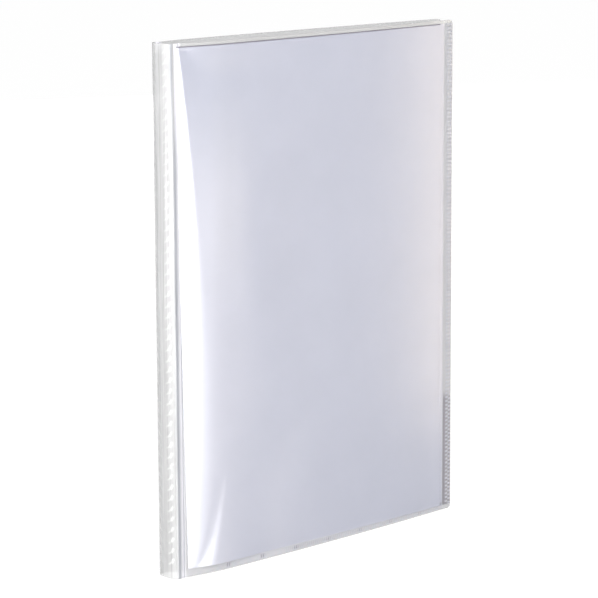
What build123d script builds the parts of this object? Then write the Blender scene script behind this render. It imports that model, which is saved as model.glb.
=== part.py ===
"""Clear A4 pocket display book, closed and standing on its bottom edge.

One clear polypropylene cover sheet wraps front, spine and back. Two creases a side hinge the covers, which
bow out over the pockets and close towards the fore-edge. Twenty clear pockets, open at the top, are gathered
like a fan and welded to the inside of the spine. A clear film is welded over the front cover along the
fore-edge, the bottom and the crease, which leaves a sleeve open at the top.
Millimetres. +Z is up, the spine is at -X, the fore-edge at +X and the front cover faces -Y.
"""

import os
from math import asin, atan2, cos, degrees, sin, sqrt

from build123d import *

# Cover sheet
book_height = 310.0
book_width = 232.0  # spine face to fore-edge
spine_width = 16.4  # outside, between the two hinge creases
spine_bend = 3.8  # outside radius of the two rounded spine edges
fore_edge_depth = 10.0  # outside, across the closed fore-edge
sheet = 0.7
corner_radius = 3.0
crease_gap = 3.7  # hinge crease to second crease
crease_groove = 0.3
crest_x = 40.0  # where the covers bow out furthest, from the spine face
front_crest = 11.8  # how far they do, from the spine's middle
back_crest = 10.4

# Film sleeve on the front cover
film = 0.12
film_start = 0.8  # from the second crease
crown_x = 26.0  # where the film stands off the cover furthest, from the spine face
film_bulge = 1.1  # how far, where it is fullest
film_foot = 0.02  # gap left under the film where it lies closest
mouth_share = 0.45  # bulge at the open top, as a share of the fullest
fullest_height = 180.0
full_slope = 0.45  # slope at which the fullest film leaves its crease seam
landing_x = 75.0  # where the film comes to lie on the cover, from the spine face
top_margin = 1.2
bottom_margin = 0.8
edge_margin = 0.4
fore_edge_seam = 6.2
bottom_seam = 3.4
crease_seam = 1.6
seam_base = 0.15  # plain thickness of a welded seam
seam_rib = 0.2  # height of the ribs left by the welding wheel
rib_pitch = 2.5
seam_lap = 0.3  # overlap of the fore-edge seam on the film

# Pockets
pocket_count = 20
pocket_film = 0.06
pocket_slot = 0.12  # room for paper between the two films of a closed pocket
pocket_bottom = 3.0
pocket_top = 306.5
pocket_root = 8.0  # where the pockets leave the binding, from the spine face
pocket_reach = 227.0  # outer edge of the pockets, from the spine face
binding_margin = 4.0  # fused strip between the root and the open pocket
side_seam = 2.0
root_pitch = 0.6  # spacing of the pockets where they leave the binding
outer_pitch = 0.35  # spacing of the pockets at the closed fore-edge
root_gap = 0.1

# Binding
binding_foot = 3.0  # width of the gathered margins where they meet the spine
weld_pitch = 6.3
weld_count = 46
weld_length = 5.6
weld_width = 1.5
weld_slant = 38.0
weld_height = 0.3
weld_inset = 4.0  # from the binding's foot to the middle of its row of welds

# Derived sizes, still measured from the spine face and the spine's middle
half_spine = spine_width / 2
crease_x = spine_bend + crease_gap
seam_start = crease_x + film_start
sleeve_start = seam_start + crease_seam
film_end = book_width - edge_margin
sleeve_end = film_end - fore_edge_seam
film_top = book_height - top_margin
seam_top = bottom_margin + bottom_seam
pocket_length = pocket_reach - pocket_root
pocket_height = pocket_top - pocket_bottom

FRONT, BACK = -1, 1


def arc_radius(crest, x):
    """Radius of a cover's outer face at x: one arc from the second crease to the crest, another beyond it."""
    if x < crest_x:
        run, drop = crest_x - crease_x, crest - half_spine
    else:
        run, drop = book_width - crest_x, crest - fore_edge_depth / 2
    return (run**2 + drop**2) / (2 * drop)


def face_slope(crest, x):
    """Sine of the angle that a cover's face has turned through at x, from level at the crest."""
    return (x - crest_x) / arc_radius(crest, x)


def on_cover(side, crest, x, out=0.0):
    """Point that stands out square from a cover's outer face at x."""
    turn = face_slope(crest, x)
    radius = arc_radius(crest, x)
    return (crest_x + (radius + out) * turn, side * (crest - radius + (radius + out) * sqrt(1 - turn**2)))


def face_arc(side, crest, low_x, high_x, out=0.0):
    """Start, middle and end of a stretch of a cover's face that lies on one of its arcs."""
    return [on_cover(side, crest, x, out) for x in (low_x, (low_x + high_x) / 2, high_x)]


# The origin is under the middle of the closed book's box: the film's crown is the foremost point
film_rest = -on_cover(FRONT, front_crest, crown_x, film + film_foot)[1]
centre_x = book_width / 2
centre_y = (back_crest - film_rest - film_bulge) / 2
ground = Plane(origin=(-centre_x, -centre_y, 0))

os.makedirs("parts", exist_ok=True)

# Spine panel: the middle of the cover sheet, a shallow channel with rounded edges
with BuildPart() as spine_panel:
    with BuildSketch(ground) as channel:
        Rectangle(spine_bend + sheet, spine_width, align=(Align.MIN, Align.CENTER))
        fillet(channel.vertices().group_by(Axis.X)[0], spine_bend)
        offset(amount=-sheet, mode=Mode.SUBTRACT)
        with Locations((spine_bend, 0)):
            Rectangle(spine_bend, spine_width, align=(Align.MIN, Align.CENTER), mode=Mode.SUBTRACT)
    extrude(amount=book_height)
spine_panel.part.label = "spine_panel"
export_step(spine_panel.part, "parts/spine_panel.step")

# Binding: the pockets' inner margins, gathered to the spine and fused, with a row of slanted welds a side
with BuildPart() as binding:
    binding_back = pocket_root - root_gap
    half_back = pocket_count * root_pitch / 2
    with BuildSketch(ground.offset(pocket_bottom)):
        with BuildLine():
            Polyline(
                (sheet, -binding_foot / 2),
                (binding_back, -half_back),
                (binding_back, half_back),
                (sheet, binding_foot / 2),
                close=True,
            )
        make_face()
    extrude(amount=pocket_height)
    spread = atan2(half_back - binding_foot / 2, binding_back - sheet)
    for side in (FRONT, BACK):
        weld_x = sheet + weld_inset * cos(spread)
        weld_y = side * (binding_foot / 2 + weld_inset * sin(spread))
        row = Plane(
            ground.from_local_coords((weld_x, weld_y, book_height / 2)),
            x_dir=(cos(spread), side * sin(spread), 0),
            z_dir=(-sin(spread), side * cos(spread), 0),
        )
        with BuildSketch(row):
            with GridLocations(0, weld_pitch, 1, weld_count):
                Rectangle(weld_length, weld_width, rotation=weld_slant)
        extrude(amount=weld_height)
binding.part.label = "binding"
export_step(binding.part, "parts/binding.step")

# Covers: a narrow strip between the two creases, then a panel that bows out to its crest and closes from
# there to the fore-edge
for name, side, crest, inner in (
    ("front_cover", FRONT, front_crest, Side.LEFT),
    ("back_cover", BACK, back_crest, Side.RIGHT),
):
    with BuildPart() as cover:
        with BuildSketch(ground):
            with BuildLine():
                Line((spine_bend, side * half_spine), (crease_x, side * half_spine))
                ThreePointArc(*face_arc(side, crest, crease_x, crest_x))
                ThreePointArc(*face_arc(side, crest, crest_x, book_width))
                offset(amount=sheet, side=inner, kind=Kind.INTERSECTION)
            make_face()
        extrude(amount=book_height)
        with BuildSketch(ground):
            with Locations((crease_x, side * half_spine)):
                RegularPolygon(crease_groove, 4)
        extrude(amount=book_height, mode=Mode.SUBTRACT)
        ends = cover.faces().sort_by(Axis.X)[-1].edges().group_by(Axis.Z)
        fillet([*ends[0], *ends[-1]], corner_radius)
    cover.part.label = name
    export_step(cover.part, f"parts/{name}.step")


def ribs(length):
    """Steps along a seam, each with its height: a plain base that carries one low rib per pitch."""
    count = int(length / rib_pitch)
    start = (length - count * rib_pitch) / 2
    steps = [(0, seam_base)]
    for rib in range(count):
        foot = start + rib * rib_pitch
        steps += [(foot, seam_base), (foot + rib_pitch / 2, seam_base + seam_rib)]
    return steps + [(start + count * rib_pitch, seam_base), (length, seam_base)]


# Front film: a sheet that bulges off the cover beside the crease and lies on it from there to the fore-edge,
# and the ribbed seams that weld it down on three sides
with BuildPart() as front_film:
    for height, fullness in ((seam_top, 0), (fullest_height, 1), (film_top, mouth_share)):
        leave = (1, (1 - fullness) * face_slope(front_crest, sleeve_start) - fullness * full_slope)
        level = (1, (1 - fullness) * face_slope(front_crest, crown_x))
        land = (1, face_slope(front_crest, landing_x))
        with BuildSketch(ground.offset(height)):
            with BuildLine():
                rises = []
                falls = []
                for out in (film, 0):
                    crown = (crown_x, film - out - film_rest - fullness * film_bulge)
                    start = on_cover(FRONT, front_crest, sleeve_start, out)
                    landing = on_cover(FRONT, front_crest, landing_x, out)
                    rises.append(Spline(start, crown, tangents=(leave, level)))
                    falls.append(Spline(crown, landing, tangents=(level, land)))
                Line(rises[0] @ 0, rises[1] @ 0)
                Line(falls[0] @ 1, falls[1] @ 1)
            make_face()
    loft()
    with BuildSketch(ground.offset(seam_top)):
        with BuildLine():
            outer = ThreePointArc(*face_arc(FRONT, front_crest, landing_x, sleeve_end, film))
            inner = ThreePointArc(*face_arc(FRONT, front_crest, landing_x, sleeve_end))
            Line(outer @ 0, inner @ 0)
            Line(outer @ 1, inner @ 1)
        make_face()
        with BuildLine():
            outer = ThreePointArc(*face_arc(FRONT, front_crest, seam_start, sleeve_start, seam_base))
            inner = ThreePointArc(*face_arc(FRONT, front_crest, seam_start, sleeve_start))
            Line(outer @ 0, inner @ 0)
            Line(outer @ 1, inner @ 1)
        make_face()
    extrude(amount=film_top - seam_top)
    with BuildSketch(ground.offset(bottom_margin)):
        with BuildLine():
            shoulder = ThreePointArc(*face_arc(FRONT, front_crest, seam_start, crest_x))
            panel = ThreePointArc(*face_arc(FRONT, front_crest, crest_x, sleeve_end))
            steps = ribs(sleeve_end - seam_start)
            rib_line = [on_cover(FRONT, front_crest, seam_start + run, out) for run, out in steps]
            Polyline(shoulder @ 0, *rib_line, panel @ 1)
        make_face()
    extrude(amount=bottom_seam)
    edge_turn = asin(face_slope(front_crest, (sleeve_end + film_end) / 2))
    edge_plane = Plane(
        ground.from_local_coords((*on_cover(FRONT, front_crest, (sleeve_end + film_end) / 2), bottom_margin)),
        x_dir=(0, 0, 1),
        z_dir=(cos(edge_turn), sin(edge_turn), 0),
    ).offset(-fore_edge_seam / 2 - seam_lap)
    with BuildSketch(edge_plane):
        with BuildLine():
            Polyline((0, 0), *ribs(film_top - bottom_margin), (film_top - bottom_margin, 0), close=True)
        make_face()
    extrude(amount=fore_edge_seam + seam_lap)
front_film.part.label = "front_film"
export_step(front_film.part, "parts/front_film.step")


# Pockets: two films welded at the binding margin, the outer edge and the bottom, and open at the top
def pocket_wall(plane, u_low, u_high, v_low, v_high, height):
    """Flat strip of a pocket between two distances from its root and two depths through it."""
    with BuildPart() as wall:
        with BuildSketch(plane):
            with Locations((u_low, v_low)):
                Rectangle(u_high - u_low, v_high - v_low, align=(Align.MIN, Align.MIN))
        extrude(amount=height)
    return wall.part


half_slot = pocket_slot / 2
half_pocket = half_slot + pocket_film
films_start = binding_margin - side_seam
for number in range(1, pocket_count + 1):
    step = number - (pocket_count + 1) / 2
    lean = atan2(step * (outer_pitch - root_pitch), pocket_length)
    leaf = Plane(
        ground.from_local_coords((pocket_root, step * root_pitch, pocket_bottom)),
        x_dir=(cos(lean), sin(lean), 0),
        z_dir=(0, 0, 1),
    )
    outer_seam = pocket_length - side_seam
    pocket = Compound(
        label=f"pocket_{number:02d}",
        children=[
            pocket_wall(leaf, films_start, pocket_length, -half_pocket, -half_slot, pocket_height),
            pocket_wall(leaf, films_start, pocket_length, half_slot, half_pocket, pocket_height),
            pocket_wall(leaf, 0, binding_margin, -half_slot, half_slot, pocket_height),
            pocket_wall(leaf, outer_seam, pocket_length, -half_slot, half_slot, pocket_height),
            pocket_wall(leaf, binding_margin, outer_seam, -half_slot, half_slot, side_seam),
        ],
    )
    export_step(pocket, f"parts/{pocket.label}.step")

for side in (FRONT, BACK):
    print("hinge crease x, y:", spine_bend - centre_x, side * half_spine - centre_y)
print("pocket roots x:", pocket_root - centre_x, "middle pocket y:", -centre_y)
print("radius of the front's shoulder:", arc_radius(front_crest, crease_x))
print("radius of the front's panel:", arc_radius(front_crest, book_width))
print("slope of the front at the fore-edge in degrees:", degrees(asin(face_slope(front_crest, book_width))))
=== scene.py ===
"""Clear A4 pocket display book, standing closed on its bottom edge, seen from its front left.

Sheets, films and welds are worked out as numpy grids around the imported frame. Metres, +Z up, the spine at -X
and the front cover towards -Y, as in the frame.
"""

import bpy
import numpy as np
from mathutils import Matrix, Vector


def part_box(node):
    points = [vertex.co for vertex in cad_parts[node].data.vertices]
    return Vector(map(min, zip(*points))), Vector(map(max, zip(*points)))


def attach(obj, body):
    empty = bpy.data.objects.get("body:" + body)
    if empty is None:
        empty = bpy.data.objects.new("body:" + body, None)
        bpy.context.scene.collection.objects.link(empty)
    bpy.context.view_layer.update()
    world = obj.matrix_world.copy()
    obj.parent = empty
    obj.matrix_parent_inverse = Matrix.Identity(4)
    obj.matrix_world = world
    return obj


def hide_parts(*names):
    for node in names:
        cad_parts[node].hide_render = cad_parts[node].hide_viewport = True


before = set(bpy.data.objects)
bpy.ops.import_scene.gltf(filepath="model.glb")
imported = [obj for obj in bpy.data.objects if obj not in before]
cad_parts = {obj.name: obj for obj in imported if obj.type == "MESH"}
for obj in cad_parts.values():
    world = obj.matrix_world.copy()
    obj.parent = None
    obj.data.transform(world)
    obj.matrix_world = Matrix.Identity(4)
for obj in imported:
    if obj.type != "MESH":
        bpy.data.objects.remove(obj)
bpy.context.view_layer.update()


# Spine panel: the middle of one clear polypropylene cover sheet, bent round into a shallow channel.
# It is creased to the two covers, and the pockets' welds show as a row of slanted milky flecks by each bend.
# The dark line along each crease, and higher up on the bend, is painted shade.
MM = 0.001
SHEET = 0.7 * MM
SPINE_BEND = 3.8 * MM
# Width of the painted shade by each crease of the spine
CREASE_SHADE = 2.4 * MM
WELD_PITCH = 6.3 * MM
FLECK_ROW = 5.0 * MM  # from the spine's middle
FLECK_RISE = 0.08 * MM
FLECK_FADE = (60 * MM, 220 * MM)  # heights over which the flecks grow faint
BACK_FLECKS = 0.3  # strength of the flecks by the back bend
UPPER_PART = (235 * MM, 300 * MM)  # heights over which the painted shade of the crease's dark line moves in from the bend
DRAWN_IN = 2.3 * MM  # where that painted shade goes, behind the spine's face
DRAWN_WIDTH = 0.9 * MM
spine_low, spine_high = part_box("spine_panel")
spine_face = spine_low.x
spine_middle = (spine_low.y + spine_high.y) / 2
half_spine = (spine_high.y - spine_low.y) / 2
book_height = spine_high.z


def ramp(low, high, value):
    """Smooth step: 0 up to low, 1 from high on, and 3t^2 - 2t^3 of the share t of the way between them."""
    share = np.clip((value - low) / (high - low), 0, 1)
    return share * share * (3 - 2 * share)


def bell(value, middle, width):
    """Bell curve: 1 at the middle, and e to the power of minus the squared distance from it in widths."""
    return np.exp(-(((value - middle) / width) ** 2))


def placed(x, y, z):
    """Grid of points from distances behind the spine's face, from its middle and above the ground."""
    return np.stack(np.broadcast_arrays(spine_face + x, spine_middle + y, z), -1)


def thickened(grid, thickness):
    """The grid moved back along its own normals, the cross products of its column and row steps."""
    normal = np.cross(np.gradient(grid, axis=1), np.gradient(grid, axis=0))
    return grid - thickness * normal / np.linalg.norm(normal, axis=2, keepdims=True)


def shell(outer, inner):
    """Closed thin body: two grids that face away from each other, and a rim of one face per step round them.
    Returns its points, the corners of all its faces in one row, each face's count of corners, and which faces
    are rim."""
    rows, columns = outer.shape[:2]
    index = np.arange(rows * columns).reshape(rows, columns)
    square = np.stack([index[:-1, :-1], index[:-1, 1:], index[1:, 1:], index[1:, :-1]], -1).reshape(-1, 4)
    edge = np.concatenate([index[0, :-1], index[:-1, -1], index[-1, :0:-1], index[:0:-1, 0]])
    after = np.roll(edge, -1)
    behind = rows * columns
    rim = np.stack([after, edge, edge + behind, after + behind], 1)
    faces = np.concatenate([square, square[:, ::-1] + behind, rim])
    points = np.concatenate([outer.reshape(-1, 3), inner.reshape(-1, 3)])
    return points, faces.ravel(), np.full(len(faces), 4), np.arange(len(faces)) >= 2 * len(square)


def tube(loops):
    """Closed body whose rows are loops of points: faces between neighbouring loops and one cap at each end.
    Returns the same four things as shell, with the caps as rim."""
    rows, columns = loops.shape[:2]
    index = np.arange(rows * columns).reshape(rows, columns)
    beside = np.roll(index, -1, 1)
    sides = np.stack([index[:-1], beside[:-1], beside[1:], index[1:]], -1).reshape(-1, 4)
    corners = np.concatenate([sides.ravel(), index[0, ::-1], index[-1]])
    counts = np.append(np.full(len(sides), 4), (columns, columns))
    return loops.reshape(-1, 3), corners, counts, np.arange(len(counts)) >= len(sides)


def sheet_piece(name, bodies, material, **masks):
    """Object of closed thin bodies, with its rim marked face by face and other masks point by point."""
    points, corners, counts, rims = zip(*bodies)
    first_points = np.cumsum([0] + [len(body) for body in points])
    corners = np.concatenate([body + first for body, first in zip(corners, first_points)])
    points, counts = np.concatenate(points), np.concatenate(counts)
    mesh = bpy.data.meshes.new(name)
    mesh.vertices.add(len(points))
    mesh.vertices.foreach_set("co", points.ravel().astype(np.float32))
    mesh.loops.add(len(corners))
    mesh.loops.foreach_set("vertex_index", corners.astype(np.int32))
    mesh.polygons.add(len(counts))
    mesh.polygons.foreach_set("loop_start", (np.cumsum(counts) - counts).astype(np.int32))
    mesh.update(calc_edges=True)
    rim = mesh.attributes.new("rim", "FLOAT", "FACE")
    rim.data.foreach_set("value", np.concatenate(rims).astype(np.float32))
    for mask, values in masks.items():
        attribute = mesh.attributes.new(mask, "FLOAT", "POINT")
        attribute.data.foreach_set("value", np.concatenate([v.ravel() for v in values]).astype(np.float32))
    mesh.shade_smooth()
    mesh.set_sharp_from_angle(angle=np.radians(40))
    mesh.materials.append(material)
    piece = bpy.data.objects.new(name, mesh)
    bpy.context.scene.collection.objects.link(piece)
    return piece


def math_node(tree, operation, *values):
    """Output of a new math node: each value is a number for its socket or another node's output."""
    node = tree.nodes.new("ShaderNodeMath")
    node.operation = operation
    for socket, value in zip(node.inputs, values):
        if isinstance(value, (int, float)):
            socket.default_value = value
        else:
            tree.links.new(value, socket)
    return node.outputs["Value"]


def make_haze():
    """Node group for the unevenness of plastic: noise over the object's own coordinates, as a factor about 1
    that swings by the amount to both sides, and as a plain grain for bumps. Scale counts waves per metre, and
    Stretch multiplies that up the piece's height."""
    group = bpy.data.node_groups.new("plastic_haze", "ShaderNodeTree")
    for name in ("Scale", "Stretch", "Amount"):
        group.interface.new_socket(name, in_out="INPUT", socket_type="NodeSocketFloat")
    for name in ("Factor", "Grain"):
        group.interface.new_socket(name, in_out="OUTPUT", socket_type="NodeSocketFloat")
    entry = group.nodes.new("NodeGroupInput")
    result = group.nodes.new("NodeGroupOutput")
    place = group.nodes.new("ShaderNodeTexCoord")
    noise = group.nodes.new("ShaderNodeTexNoise")
    noise.inputs["Detail"].default_value = 2
    apart = group.nodes.new("ShaderNodeSeparateXYZ")
    joined = group.nodes.new("ShaderNodeCombineXYZ")
    group.links.new(place.outputs["Object"], apart.inputs["Vector"])
    for axis in "XY":
        group.links.new(apart.outputs[axis], joined.inputs[axis])
    stretched = math_node(group, "MULTIPLY", apart.outputs["Z"], entry.outputs["Stretch"])
    group.links.new(stretched, joined.inputs["Z"])
    group.links.new(joined.outputs["Vector"], noise.inputs["Vector"])
    group.links.new(entry.outputs["Scale"], noise.inputs["Scale"])
    swing = math_node(group, "MULTIPLY_ADD", noise.outputs["Fac"], 4, -2)
    factor = math_node(group, "MULTIPLY_ADD", swing, entry.outputs["Amount"], 1)
    group.links.new(factor, result.inputs["Factor"])
    group.links.new(noise.outputs["Fac"], result.inputs["Grain"])
    return group


plastic_haze = make_haze()


def clear_plastic(name, body, rim, weld, mark, gloss, roughness, haze):
    """Principled material of clear plastic. body, rim and the next two arguments are each a colour with its
    opacity: of the plain sheet, of its cut edges, of its welds and pale strips (a painted highlight where a
    cover's strip whitens at the top), and of its marks (painted shade along creases and top edges, and the
    seams' own dots, lines and ticks). The last three have no gloss. haze is its scale, its stretch, its amount
    and its bump."""
    material = bpy.data.materials.new(name)
    material.use_nodes = True
    tree = material.node_tree
    nodes, links = tree.nodes, tree.links
    surface = nodes["Principled BSDF"]
    surface.inputs["IOR"].default_value = gloss
    colour, opacity, level = body[:3], body[3], 0.5
    for mask, paint in (("weld", weld), ("mark", mark), ("rim", rim)):
        attribute = nodes.new("ShaderNodeAttribute")
        attribute.attribute_name = mask
        mix = nodes.new("ShaderNodeMix")
        mix.data_type = "RGBA"
        tints = [socket for socket in mix.inputs if socket.type == "RGBA"]
        tints[1].default_value = (*paint[:3], 1)
        links.new(attribute.outputs["Fac"], mix.inputs["Factor"])
        blend = nodes.new("ShaderNodeMix")
        blend.inputs["B"].default_value = paint[3]
        links.new(attribute.outputs["Fac"], blend.inputs["Factor"])
        if mask == "weld":
            tints[0].default_value = (*colour, 1)
            blend.inputs["A"].default_value = opacity
        else:
            links.new(colour, tints[0])
            links.new(opacity, blend.inputs["A"])
        colour = next(socket for socket in mix.outputs if socket.type == "RGBA")
        opacity = blend.outputs["Result"]
        plain = math_node(tree, "SUBTRACT", 1, attribute.outputs["Fac"])
        level = math_node(tree, "MULTIPLY", level, plain)
    links.new(level, surface.inputs["Specular IOR Level"])
    cloud = nodes.new("ShaderNodeGroup")
    cloud.node_tree = plastic_haze
    for setting, value in zip(("Scale", "Stretch", "Amount"), haze):
        cloud.inputs[setting].default_value = value
    tinted = nodes.new("ShaderNodeVectorMath")
    tinted.operation = "SCALE"
    links.new(colour, tinted.inputs["Vector"])
    links.new(cloud.outputs["Factor"], tinted.inputs["Scale"])
    links.new(tinted.outputs["Vector"], surface.inputs["Base Color"])
    links.new(math_node(tree, "MULTIPLY", cloud.outputs["Factor"], opacity), surface.inputs["Alpha"])
    links.new(math_node(tree, "MULTIPLY", cloud.outputs["Factor"], roughness), surface.inputs["Roughness"])
    bump = nodes.new("ShaderNodeBump")
    bump.inputs["Strength"].default_value = haze[3]
    bump.inputs["Distance"].default_value = 0.2 * MM
    links.new(cloud.outputs["Grain"], bump.inputs["Height"])
    links.new(bump.outputs["Normal"], surface.inputs["Normal"])
    return material


def weld_bars(off, height):
    """Strength of the welds at a distance across their row: one per pitch, a short steep bar and a fainter,
    flatter tail from its foot. Each stroke falls off as a bell across it and by a fourth power along it. Its
    numbers are its slant in degrees, half its length and width in mm, its strength and its place in mm."""
    row = (height - book_height / 2) / WELD_PITCH + 0.5
    rise = (row - np.floor(row) - 0.5) * WELD_PITCH
    bar = (66, 1.7, 0.75, 0.9, 0.4, 0.6)
    tail = (35, 1.6, 0.5, 0.5, -1.2, -0.9)
    strength = 0
    for slant, half_length, half_width, share, aside, above in (bar, tail):
        slant, x, y = np.radians(slant), off - aside * MM, rise - above * MM
        length = (x * np.cos(slant) + y * np.sin(slant)) / (half_length * MM)
        width = (y * np.cos(slant) - x * np.sin(slant)) / (half_width * MM)
        strength = np.maximum(strength, share * np.exp(-(length**4) - width**2))
    return strength


# Its crease colour, the darkest, is painted shade: the dark line along each crease and higher up on the bend.
spine_plastic = clear_plastic(
    "spine_plastic", body=(0.69, 0.69, 0.69, 0.45), rim=(0.45, 0.45, 0.45, 0.8), weld=(1, 1, 1, 0.85),
    mark=(0.32, 0.33, 0.36, 0.85), gloss=1.6, roughness=0.25, haze=(700, 0.03, 0.1, 0.05),
)
# The channel's section is a superellipse of power 3, stepped closer towards its two creases
around = np.sin(np.linspace(0, np.pi, 61) / 2) ** 2 * np.pi
profile_x = SPINE_BEND * (1 - np.abs(np.sin(around)) ** (2 / 3))
profile_y = half_spine * np.sign(np.cos(around)) * np.abs(np.cos(around)) ** (2 / 3)
heights = np.linspace(0, book_height, 640)[:, None]
flecks = weld_bars(np.abs(profile_y) - FLECK_ROW, heights) * ramp(6 * MM, 9 * MM, heights)
flecks = flecks * np.where(profile_y < 0, 1, BACK_FLECKS) * (1 - 0.7 * ramp(*FLECK_FADE, heights))
outer = placed(profile_x + FLECK_RISE * flecks, profile_y, heights)
inner = thickened(placed(profile_x, profile_y, heights), SHEET)
# Painted shade: a dark line along each crease, which higher up moves in onto the bend behind the spine's face.
crease = ramp(SPINE_BEND - CREASE_SHADE, SPINE_BEND, profile_x)
mark = crease + ramp(*UPPER_PART, heights) * (bell(profile_x, DRAWN_IN, DRAWN_WIDTH) - crease)
spine_panel = sheet_piece(
    "clear_spine", [shell(outer, inner)], spine_plastic, mark=[mark, mark], weld=[0.8 * flecks, 0 * flecks]
)
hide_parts("spine_panel")
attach(spine_panel, "spine")


# Binding: the inner margins of all the pockets, gathered like a fan and fused to the inside of the spine.
# The welding tool leaves a row of slanted milky bars on each of its two slanting sides.
BINDING_BACK = 7.9 * MM  # behind the spine's face
BINDING_FOOT = 1.5 * MM  # half its width at the spine
BINDING_SPREAD = 6.0 * MM  # half its width at the back
WELD_ROW = 4.6 * MM  # from the foot, up the slanting side
WELD_RISE = 0.3 * MM
binding_low, binding_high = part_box("binding")
run, spread = BINDING_BACK - SHEET, BINDING_SPREAD - BINDING_FOOT
side_length = np.hypot(run, spread)
step = np.linspace(0, 1, 22)
heights = np.linspace(binding_low.z, binding_high.z, 620)[:, None]
bars = weld_bars(step * side_length - WELD_ROW, heights)
proud = WELD_RISE * bars
walls = [
    placed(
        SHEET + step * run - spread / side_length * proud,
        side * (BINDING_FOOT + step * spread + run / side_length * proud),
        heights,
    )
    for side in (1, -1)
]
ring = np.concatenate([walls[0][:, ::-1], walls[1]], 1)
welded = np.concatenate([bars[:, ::-1], bars], 1)
binding_weld = clear_plastic(
    "binding_weld", body=(0.68, 0.68, 0.68, 0.35), rim=(0.6, 0.6, 0.6, 0.4), weld=(1, 1, 1, 0.95),
    mark=(0.5, 0.5, 0.5, 0.5), gloss=1.5, roughness=0.35, haze=(600, 1, 0.12, 0.1),
)
binding = sheet_piece("binding_fan", [tube(ring)], binding_weld, weld=[welded])
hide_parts("binding")
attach(binding, "spine")


# Covers: the two outer panels of the same sheet, bowed out over the pockets and closing to the fore-edge.
# Each has a narrow strip between two creases beside the spine, and two rounded free corners.
BOOK_WIDTH = 232 * MM
CREASE_X = 7.5 * MM
CREASE_DEPTH = 0.25 * MM
CREASE_WIDTH = 0.4 * MM
CREST_X = 40 * MM
FRONT_CREST = 11.8 * MM
BACK_CREST = 10.4 * MM
FORE_EDGE = 5 * MM
CORNER = 3 * MM
HINGE_FADE = (0.6 * MM, 1.6 * MM)  # where the hinge's dark line, a painted shade, fades out, from the crease
FOLD_LINE = 6.3 * MM  # light line in the strip, behind the spine's face
STRIP_PAINTED_HIGHLIGHT = (220 * MM, 270 * MM)  # heights over which the strip turns pale: a painted highlight
CLOSE_STEPS = 6 * MM  # stretch by the hinge that has closer steps


def cover_face(x, crest):
    """Distance of a cover's outer face from the spine's middle: level to the second crease, then one arc up
    to the crest and another down from it to the fore-edge, each of radius (run^2 + rise^2) / (2 rise)."""
    rises = ((CREST_X - CREASE_X, crest - half_spine), (BOOK_WIDTH - CREST_X, crest - FORE_EDGE))
    radius = np.where(x < CREST_X, *[(run**2 + rise**2) / (2 * rise) for run, rise in rises])
    arc = crest - radius + np.sqrt(radius**2 - (x - CREST_X) ** 2)
    return np.where(x < CREASE_X, half_spine, arc)


def fore_edge(height):
    """Where a cover ends at a height: the book's width, less a quarter circle's gap near its two corners."""
    depth = np.clip(CORNER - np.minimum(height, book_height - height), 0, CORNER)
    return BOOK_WIDTH - CORNER + np.sqrt(CORNER**2 - depth**2)


# Its crease colour is painted shade: the dark lines along each cover's hinge and second crease. Its pale strip
# colour is partly a painted highlight.
cover_plastic = clear_plastic(
    "cover_plastic", body=(0.52, 0.52, 0.52, 0.52), rim=(0.4, 0.4, 0.4, 0.85), weld=(0.9, 0.89, 0.95, 0.6),
    mark=(0.4, 0.41, 0.44, 0.75), gloss=1.3, roughness=0.25, haze=(40, 1, 0.02, 0.02),
)
corner_rows = CORNER * (1 - np.cos(np.linspace(0, np.pi / 2, 7)))
middle_rows = np.linspace(CORNER, book_height - CORNER, 40)[1:-1]
heights = np.concatenate([corner_rows, middle_rows, book_height - corner_rows[::-1]])[:, None]
reach = BOOK_WIDTH - SPINE_BEND
steps = np.concatenate([np.linspace(0, CLOSE_STEPS, 31)[:-1], np.linspace(CLOSE_STEPS, reach, 90)])
x = SPINE_BEND + steps / reach * (fore_edge(heights) - SPINE_BEND)
# Painted shade: a dark line along the hinge, fading out higher up, and along the second crease, where the
# groove is.
hinge_mark = (1 - ramp(*HINGE_FADE, x - SPINE_BEND)) * (1 - ramp(*UPPER_PART, heights))
# The strip is pale, with a lighter line at the fold, and whitens fully towards the top as a painted highlight.
strip = np.maximum(0.6 + 0.4 * bell(x, FOLD_LINE, CREASE_WIDTH), ramp(*STRIP_PAINTED_HIGHLIGHT, heights))
strip = strip * (1 - ramp(CREASE_X, CREASE_X + 2 * MM, x))
crease_mark = bell(x, CREASE_X - 0.3 * MM, CREASE_WIDTH)
mark = np.maximum(hinge_mark, 0.8 * crease_mark)
for name, body, side, crest in (
    ("front_cover", "front", -1, FRONT_CREST),
    ("back_cover", "back", 1, BACK_CREST),
):
    outer = placed(x, side * (cover_face(x, crest) - CREASE_DEPTH * crease_mark), heights)[:, ::-side]
    layers = [shell(outer, thickened(outer, SHEET))]
    dark, pale = mark[:, ::-side], strip[:, ::-side]
    cover = sheet_piece(f"{body}_panel", layers, cover_plastic, mark=[dark, dark], weld=[pale, pale])
    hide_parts(name)
    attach(cover, body)


# Pockets: twenty leaves of two thin clear films, welded at the binding margin, the outer edge and the bottom
# and open at the top. They leave the binding side by side and fan out with the bow of the covers.
POCKETS = 20
POCKET_ROOT = 8 * MM
POCKET_REACH = 219 * MM
POCKET_FILM = 0.06 * MM
ROOT_PITCH = 0.6 * MM
OUTER_PITCH = 0.35 * MM
POCKET_BOW = 2.4 * MM
POCKET_WELD = 2.2 * MM  # height of the bottom weld
MOUTH_DEPTH = 12 * MM
LIP_HEIGHT = 0.8 * MM
pocket_low, pocket_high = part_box("pocket_01")
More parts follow.
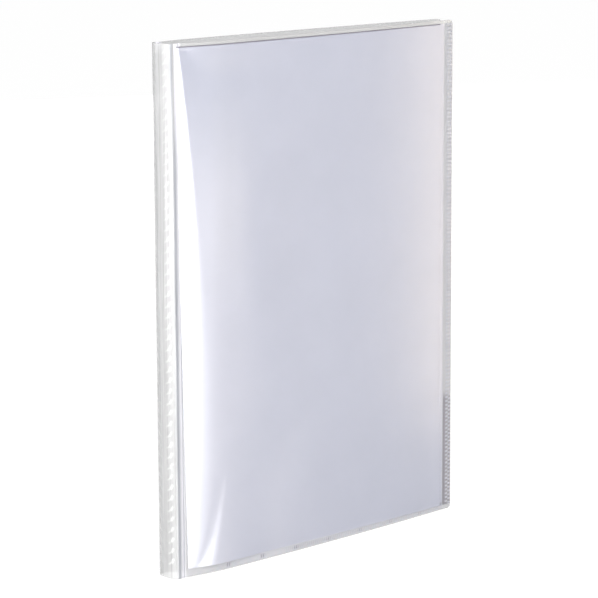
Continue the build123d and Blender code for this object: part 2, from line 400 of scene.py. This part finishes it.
# Its crease colour is painted shade: a darker line along the top edge of each leaf.
pocket_film = clear_plastic(
    "pocket_film", body=(0.57, 0.6, 0.74, 0.06), rim=(0.6, 0.6, 0.62, 0.5), weld=(0.38, 0.4, 0.45, 0.4),
    mark=(0.38, 0.38, 0.4, 0.45), gloss=1.15, roughness=0.2, haze=(25, 1, 0.05, 0.02),
)


def both_films(grid, sign=1):
    """Loop round a leaf from a grid up its front film: the same grid comes back down its back film."""
    return np.concatenate([grid, sign * grid[:, ::-1]], 1)


# Each row is a loop up one film, into the open mouth between the two and out again down the other
share = np.concatenate(
    [np.linspace(0, 0.03, 5)[:-1], np.linspace(0.03, 0.975, 22), np.linspace(0.975, 1, 5)[1:]]
)[:, None]
mouth = ramp(0.012, 0.03, share) * ramp(0.005, 0.02, 1 - share)
rise = pocket_high.z - pocket_low.z
up_film = np.array((0, POCKET_WELD, POCKET_WELD + 0.6 * MM, 250 * MM, rise - LIP_HEIGHT)) + 0 * share
top = rise + 0 * share
climb = np.concatenate([up_film, top, top, top - MOUTH_DEPTH * mouth - 0.1 * MM], 1)
slot = POCKET_FILM * (0.1 + 0.9 * mouth)
wall = np.concatenate([np.tile(POCKET_FILM * (1.2 + 0.8 * mouth), (1, 6)), slot, slot], 1)
seam = np.ones_like(climb) * (1 - ramp(0.012, 0.02, share) * ramp(0.006, 0.011, 1 - share))
seam[:, :2] = 1
# Painted shade: a darker line along the top edge of each leaf, at its mouth.
lip_shade = np.zeros_like(climb)
lip_shade[:, 5:7] = 1
x = POCKET_ROOT + share * POCKET_REACH
z = pocket_low.z + both_films(climb)
wall, seam, lip_shade = both_films(wall, -1), both_films(seam), both_films(lip_shade)
for number in range(1, POCKETS + 1):
    name = f"pocket_{number:02d}"
    step = number - (POCKETS + 1) / 2
    fan = step * (ROOT_PITCH + (OUTER_PITCH - ROOT_PITCH) * share)
    bow = step / POCKETS * 2 * POCKET_BOW * np.sin(np.pi * share**0.6) ** 2
    loops = placed(x, fan + bow + wall, z)
    pocket = sheet_piece(f"leaf_{number:02d}", [tube(loops)], pocket_film, weld=[seam], mark=[lip_shade])
    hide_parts(name)
    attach(pocket, name)
    pocket.visible_shadow = False


# Front film: a thin clear sheet over the front cover, welded to it beside the hinge, along the bottom and
# along the fore-edge, so that it makes a sleeve open at the top. It stands off the cover beside the hinge.
FILM = 0.12 * MM
FILM_GAP = 0.02 * MM
FILM_RIGHT = 223.8 * MM  # inner edge of the fore-edge seam
DOTS_LEFT = 220.4 * MM  # where the film ends and the seam's dotted margin starts
SEAM_BASE = 0.15 * MM
SEAM_GAP = 0.01 * MM
SEAM_FOOT = 0.8 * MM  # height of the film's lower edge
SHOULDER_TOP = 6.4 * MM  # where the film's steep strip ends, at its top
SHOULDER_GAIN = 13.8 * MM  # what that gains lower down
SHOULDER_LOSS = 3.0 * MM  # and loses again towards the foot
NEAR_RADIUS = 148.5 * MM  # of the film's bow before the crest and beyond it, as on the cover
FAR_RADIUS = 2710 * MM
STREAK_TOP = 306 * MM
STREAK_DROP = 190 * MM  # below its top, over which the streak widens
BUCKLE_FOOT = 6 * MM
BUCKLE_RISE = 52 * MM


def film_left(height):
    """Left edge of the film: it leans from the second crease at the bottom towards the hinge, and less so at
    the top, where it stays clear of the spine when the cover is folded right back."""
    share = height / book_height
    return (9.5 - 5.6 * share + 1.7 * ramp(0.55, 1, share)) * MM


def seam_top(x):
    """Upper edge of the bottom seam, which drops a little towards the fore-edge."""
    return (5.2 - 2.2 * x / BOOK_WIDTH) * MM


def film_slope(x, height):
    """Slope at which the film leaves the cover's strip: steep up to a shoulder, short and sharp at the top,
    wider and softer lower down, then the cover's own bow up to a limit, and a buckle that climbs from the
    lower left corner, a ridge less a valley beside it, each a bell. It starts gently in the upper part."""
    drop = np.clip((STREAK_TOP - height) / STREAK_DROP, 0, 1)
    shoulder = SHOULDER_TOP + SHOULDER_GAIN * drop**0.88 - SHOULDER_LOSS * (1 - ramp(0, 100 * MM, height))
    soft = (0.5 + 8.0 * drop) * MM
    steep = 1.5 - 1.23 * drop**0.3
    before_crest = np.minimum((CREST_X - x) / NEAR_RADIUS, 0.08 + 0.035 * drop)
    bowed = np.where(x < CREST_X, before_crest, (CREST_X - x) / FAR_RADIUS)
    climb = np.clip((height - BUCKLE_FOOT) / BUCKLE_RISE, 0, 1)
    from_ridge = x - (20 + 15.5 * climb**0.6) * MM
    ridge = bell(from_ridge, 0, (4.6 - 3.2 * climb**0.5) * MM)
    valley = bell(from_ridge, -6.3 * MM, 2 * MM)
    buckle = (1 - climb) ** 0.4 * (0.16 * ridge - 0.06 * valley)
    start = 1 - ramp(200 * MM, 260 * MM, height) * (1 - ramp(0, 0.8 * MM, x - film_left(height)))
    return start * (bowed + (steep - bowed) * (1 - ramp(shoulder - soft, shoulder + soft, x)) + buckle)


# Its free sheet: the slope is added up from the left edge, and the height left over is let down to the cover
across = np.concatenate(
    [np.linspace(0, 0.2, 82)[:-1], np.linspace(0.2, 0.33, 16)[:-1], np.linspace(0.33, 1, 32)]
)
upward = np.concatenate(
    [np.linspace(0, 0.2, 50)[:-1], np.linspace(0.2, 0.99, 60)[:-1], np.linspace(0.99, 1, 9)]
)[:, None]
left = film_left(4 * MM + upward * (book_height - 5 * MM))
x = left + across * (DOTS_LEFT - left)
film_top = book_height - (1.8 + 0.2 * x / BOOK_WIDTH) * MM
z = seam_top(x) + upward * (film_top - seam_top(x))
resting = cover_face(x, FRONT_CREST) + FILM + FILM_GAP
slope = film_slope(x, z)
steps = (slope[:, 1:] + slope[:, :-1]) / 2 * np.diff(x, axis=1)
standing = resting[:, :1] + np.concatenate([np.zeros((len(x), 1)), np.cumsum(steps, 1)], 1) - resting
higher = ramp(40 * MM, 110 * MM, z)
descent, landing = (22 + 23 * higher) * MM, (75 + 35 * higher) * MM
spare = np.take_along_axis(standing, np.argmin(np.abs(x - landing), 1)[:, None], 1)
standing = np.clip(standing - spare * ramp(descent, landing, x), 0, None) * (x < landing)
film_y = resting + standing
free_sheet = shell(placed(x, -film_y, z), placed(x, FILM - film_y, z))
bare = 0 * x
# Painted shade: a dark line along the film's top edge, in its darkest colour.
lip_shade = ramp(0, 0.9 * MM, z - film_top + 1.1 * MM)
foot_x, foot_standing = x[0], standing[0]

# Its fore-edge seam: a dotted margin, a plain line and a ribbed strip, with rungs above and a braid below
RIB_PITCH = 2.5 * MM
RIB_RISE = 0.3 * MM
EDGE_RIGHT = 231.6 * MM
EDGE_TOP = book_height - 2 * MM
BRAID_TOP = 75 * MM
DOT_LINE = 222 * MM
CORNER_WELD = (222.6 * MM, 4.0 * MM)  # place of the spot weld at the lower corner
x = np.concatenate(
    [np.linspace(DOTS_LEFT - 0.2 * MM, FILM_RIGHT, 9)[:-1], np.linspace(FILM_RIGHT, EDGE_RIGHT, 18)]
)
z = SEAM_FOOT + np.linspace(0, 1, 993)[:, None] * (EDGE_TOP - SEAM_FOOT)
across = (x - FILM_RIGHT) / (EDGE_RIGHT - FILM_RIGHT)
low = 1 - ramp(BRAID_TOP - 4 * MM, BRAID_TOP + 4 * MM, z)
wave = np.cos(2 * np.pi * z / RIB_PITCH)
weave = np.sin(2 * np.pi * (across - 0.35) / 0.65)
rung = (0.5 + 0.5 * wave) * np.abs(weave)
braid = ramp(0.4, 0.8, 0.5 + 0.5 * wave * weave)
ribbed = ramp(0.3, 0.36, across)
foot = 1 - ramp(seam_top(x) - 0.6 * MM, seam_top(x) + 0.2 * MM, z)
lump = (rung + (braid - rung) * low) * ramp(0.33, 0.4, across) * ramp(0, 0.06, 1 - across) * (1 - foot)
base = cover_face(x, FRONT_CREST) + SEAM_GAP
edge_seam = shell(placed(x, -base - SEAM_BASE - RIB_RISE * lump, z), placed(x, -base + 0 * z, z))
welded = np.maximum(ramp(-0.03, 0.03, across), 0.7 * foot)
edge_welds = [welded * (1 - 0.9 * lump), welded + 0 * lump]
line = ramp(0, 0.08, across) * (1 - ribbed)
dots = bell(x, DOT_LINE, 0.45 * MM) * (0.5 + 0.5 * wave)
spot = bell(x, CORNER_WELD[0], 1.3 * MM) * bell(z, CORNER_WELD[1], 1.2 * MM)
ground = (0.42 + 0.33 * low) * ribbed * (1 - lump) + (0.24 + 0.52 * low) * line
edge_marks = [np.maximum((ground + (0.15 + 0.25 * low) * dots) * (1 - foot), 0.8 * spot), 0 * lump]

# Its bottom seam: a matte strip with groups of slanted ticks, which run together towards the fore-edge
SEAM_LEFT = 8.6 * MM
TICK_PITCH = 1.6 * MM
TICK_RISE = 0.2 * MM
FIRST_GROUP = 37.5 * MM
GROUP_PITCH = 27.4 * MM
x = SEAM_LEFT + np.linspace(0, 1, 880) * (DOTS_LEFT - SEAM_LEFT)
across = np.linspace(0, 1, 7)[:, None]
z = SEAM_FOOT + across * (seam_top(x) - SEAM_FOOT)
group = ramp(0.88, 0.96, np.cos(2 * np.pi * (x - FIRST_GROUP) / GROUP_PITCH)) * ramp(20 * MM, 30 * MM, x)
group = np.maximum(group, 0.45 * ramp(75 * MM, 95 * MM, x))
ticks = (0.5 + 0.5 * np.cos(2 * np.pi * (x / TICK_PITCH + 0.4 * across))) * group
ticks = ticks * ramp(0, 0.3, across) * ramp(0, 0.3, 1 - across)
height = SEAM_BASE + TICK_RISE * ticks + across**2 * np.interp(x, foot_x, foot_standing)
base = cover_face(x, FRONT_CREST) + SEAM_GAP
bottom_seam = shell(placed(x, -base - height, z), placed(x, -base + 0 * z, z))
far = ramp(100 * MM, 200 * MM, x)
matte = 0.95 - 0.25 * ramp(20 * MM, 40 * MM, x) + 0 * ticks
bottom_marks = [(0.85 - 0.3 * far) * ticks + (0.1 + 0.25 * far) * ramp(0.7, 0.9, across), 0 * ticks]

# Its darkest colour serves the seams' own dots, lines, ticks and spot weld, and painted shade along the film's
# top edge.
film_plastic = clear_plastic(
    "film_plastic", body=(0.542, 0.557, 0.655, 0.5), rim=(0.5, 0.5, 0.5, 0.7), weld=(0.61, 0.61, 0.625, 0.6),
    mark=(0.16, 0.15, 0.18, 0.8), gloss=1.75, roughness=0.18, haze=(30, 1, 0.012, 0.02),
)
front_film = sheet_piece(
    "film_sleeve", [free_sheet, edge_seam, bottom_seam], film_plastic,
    weld=[bare, bare, *edge_welds, matte, matte], mark=[lip_shade, lip_shade, *edge_marks, *bottom_marks],
)
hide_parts("front_film")
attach(front_film, "front")


# Stage: a plain pale floor that is white to the camera and keeps the book's shadow, a white studio, soft
# lamps, bright cards that only the gloss shows, and the camera.
FLOOR_HALF = 4


def white_to_sight(tree, plain, white):
    """Mixes two shaders: white for rays that are seen, directly or in the plastic, and plain for light."""
    path = tree.nodes.new("ShaderNodeLightPath")
    seen = math_node(tree, "MAXIMUM", path.outputs["Is Camera Ray"], path.outputs["Is Glossy Ray"])
    seen = math_node(tree, "MAXIMUM", seen, path.outputs["Is Transmission Ray"])
    mix = tree.nodes.new("ShaderNodeMixShader")
    tree.links.new(seen, mix.inputs["Fac"])
    tree.links.new(plain, mix.inputs[1])
    tree.links.new(white, mix.inputs[2])
    return mix.outputs["Shader"]


floor_mesh = bpy.data.meshes.new("floor")
floor_corners = FLOOR_HALF * np.array(((-1, -1, 0), (1, -1, 0), (1, 1, 0), (-1, 1, 0)))
floor_mesh.from_pydata(floor_corners.tolist(), [], [(0, 1, 2, 3)])
floor = bpy.data.objects.new("floor", floor_mesh)
bpy.context.scene.collection.objects.link(floor)
floor.visible_glossy = False
floor.visible_shadow = False
floor_paint = bpy.data.materials.new("floor_paint")
floor_paint.use_nodes = True
tree = floor_paint.node_tree
paint = tree.nodes["Principled BSDF"]
paint.inputs["Base Color"].default_value = (0.85, 0.85, 0.85, 1)
paint.inputs["Roughness"].default_value = 0.9
glow = tree.nodes.new("ShaderNodeEmission")
glow.inputs["Strength"].default_value = 1.1
softened = tree.nodes.new("ShaderNodeMixShader")
softened.inputs["Fac"].default_value = 0.8
tree.links.new(paint.outputs["BSDF"], softened.inputs[1])
tree.links.new(glow.outputs["Emission"], softened.inputs[2])
tree.links.new(
    white_to_sight(tree, paint.outputs["BSDF"], softened.outputs["Shader"]),
    tree.nodes["Material Output"].inputs["Surface"],
)
floor_mesh.materials.append(floor_paint)

world = bpy.data.worlds.new("studio")
world.use_nodes = True
tree = world.node_tree
fill = tree.nodes["Background"]
fill.inputs["Color"].default_value = (1, 1, 1, 1)
fill.inputs["Strength"].default_value = 0.6
white = tree.nodes.new("ShaderNodeBackground")
white.inputs["Color"].default_value = (1, 1, 1, 1)
tree.links.new(
    white_to_sight(tree, fill.outputs["Background"], white.outputs["Background"]),
    tree.nodes["World Output"].inputs["Surface"],
)
bpy.context.scene.world = world


def outlook(azimuth, elevation):
    """Unit vector from the subject towards a viewer, and the one to that viewer's right. The azimuth counts
    from the front towards the fore-edge."""
    back = (np.sin(azimuth) * np.cos(elevation), -np.cos(azimuth) * np.cos(elevation), np.sin(elevation))
    return np.array(back), np.array((np.cos(azimuth), np.sin(azimuth), 0))


def standpoint(right, back, place):
    """Matrix of a lamp or camera at a place, from its right and its backward direction."""
    columns = np.stack([right, np.cross(back, right), back, place], 1)
    return Matrix(np.concatenate([columns, [[0, 0, 0, 1]]]).tolist())


def lamp(name, azimuth, elevation, distance, height, size, power):
    """Soft rectangular lamp that faces a point over the middle of the floor. size is its width and height."""
    data = bpy.data.lights.new(name, "AREA")
    data.shape = "RECTANGLE"
    data.size, data.size_y = size
    data.energy = power
    back, right = outlook(*np.radians((azimuth, elevation)))
    piece = bpy.data.objects.new(name, data)
    piece.matrix_world = standpoint(right, back, np.array((0, 0, height)) + back * distance)
    piece.visible_camera = False
    bpy.context.scene.collection.objects.link(piece)
    return piece


LAMP_HEIGHT = 0.15
CARD_DISTANCE = 1.4
lamp("key_lamp", -20, 25, 2.4, LAMP_HEIGHT, (1.2, 1.2), 35)
side_lamp = lamp("side_lamp", -65, 20, 1.8, LAMP_HEIGHT, (0.9, 0.9), 16)
side_lamp.visible_glossy = False
back_lamp = lamp("back_lamp", 155, 8, 2.4, LAMP_HEIGHT, (1.2, 1.2), 60)
back_lamp.visible_glossy = False
# Each card's azimuths to its left and right edge, its foot and its top, its brightness and its colour
for name, left, right, low, high, brightness, colour in (
    ("left_card", -128, -57, -0.22, 0.4, 6, (1, 1, 1)),
    ("upper_card", -57, -20, -0.12, 0.4, 12, (1, 1, 1)),
    ("streak_card", -20, 12, -0.55, 0.4, 12, (1, 1, 1)),
    ("near_card", 12, 20, -0.55, 0.14, 6.3, (1, 0.96, 0.92)),
    ("soft_card", 20, 29, -0.55, 0.12, 3.8, (1, 0.92, 0.84)),
    ("far_card", 29, 43, -0.55, 0.12, 1.9, (1, 0.88, 0.76)),
    ("top_card", 28, 40.5, -0.1, 0.2, 1.0, (1, 0.85, 0.5)),
    ("right_card", 54.3, 85, -0.25, 0.4, 5, (1, 0.8, 0.55)),
):
    half = np.radians(right - left) / 2
    size = (2 * CARD_DISTANCE * np.sin(half), high - low)
    power = brightness * np.pi * size[0] * size[1]
    card = lamp(name, (left + right) / 2, 0, CARD_DISTANCE * np.cos(half), (low + high) / 2, size, power)
    card.data.color = colour
    card.visible_diffuse = False

AZIMUTH, ELEVATION, ROLL = np.radians((-43.256, 10.3325, -0.2234))
CAMERA_DISTANCE = 1.62154
LENS = 162.65
AIM_LEFT = 9.96 * MM  # of the middle of the book
AIM_DOWN = 6.12 * MM
back, right = outlook(AZIMUTH, ELEVATION)
up = np.cross(back, right)
right, up = right * np.cos(ROLL) + up * np.sin(ROLL), up * np.cos(ROLL) - right * np.sin(ROLL)
subject = np.array((spine_face + 120 * MM, spine_middle, 155 * MM))
eye = subject + back * CAMERA_DISTANCE
aim = subject - right * AIM_LEFT - up * AIM_DOWN
back = (eye - aim) / np.linalg.norm(eye - aim)
right = right - back * np.dot(right, back)
right /= np.linalg.norm(right)
camera_data = bpy.data.cameras.new("camera")
camera_data.lens = LENS
camera = bpy.data.objects.new("camera", camera_data)
camera.matrix_world = standpoint(right, back, eye)
bpy.context.scene.collection.objects.link(camera)
bpy.context.scene.camera = camera
bpy.context.scene.view_settings.view_transform = "Standard"
bpy.context.scene.cycles.transparent_max_bounces = 64
bpy.context.scene.cycles.max_bounces = 4
bpy.context.scene.cycles.diffuse_bounces = 2
bpy.context.scene.cycles.glossy_bounces = 2
